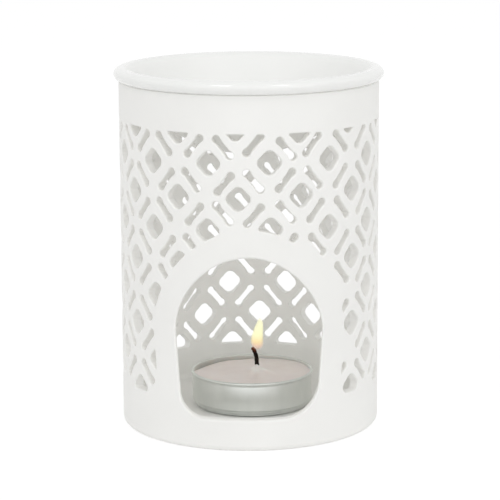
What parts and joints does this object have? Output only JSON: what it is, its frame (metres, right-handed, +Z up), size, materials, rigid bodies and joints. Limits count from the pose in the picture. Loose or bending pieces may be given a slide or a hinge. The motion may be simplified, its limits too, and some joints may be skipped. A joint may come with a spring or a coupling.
{
  "type": "essential oil burner",
  "caption": "Pierced ceramic cylinder with an arched opening for a tealight and a lift-off glazed dish for oil or wax melts on top.",
  "frame": {"origin": "centre of the base, on the surface that the burner stands on", "axes": "+Z up along the body's axis; the arched opening faces -Y; +X to the right seen from the front"},
  "size_m": [0.0834, 0.0834, 0.1122],
  "materials": {
    "matte_ceramic": "matte, unglazed bisque",
    "glazed_ceramic": "gloss glaze",
    "cup_metal": "satin, deep-drawn foil",
    "sustainer_metal": "tinned",
    "wick_cotton": "charred braided cotton",
    "wax": "paraffin wax"
  },
  "bodies": {
    "burner": {"burner_body": "matte_ceramic"},
    "dish": {"oil_dish": "glazed_ceramic"},
    "tealight": {"tealight_cup": "cup_metal", "wick_sustainer": "sustainer_metal", "wick": "wick_cotton", "candle_wax": "wax"}
  },
  "joints": [
    {"name": "dish_lift", "type": "slide", "parent": "burner", "child": "dish", "axis": [0, 0, 1], "range_m": [0, 0.04]},
    {"name": "tealight_out", "type": "slide", "parent": "burner", "child": "tealight", "axis": [0, -0.8572, 0.515], "range_m": [0, 0.075]}
  ]
}
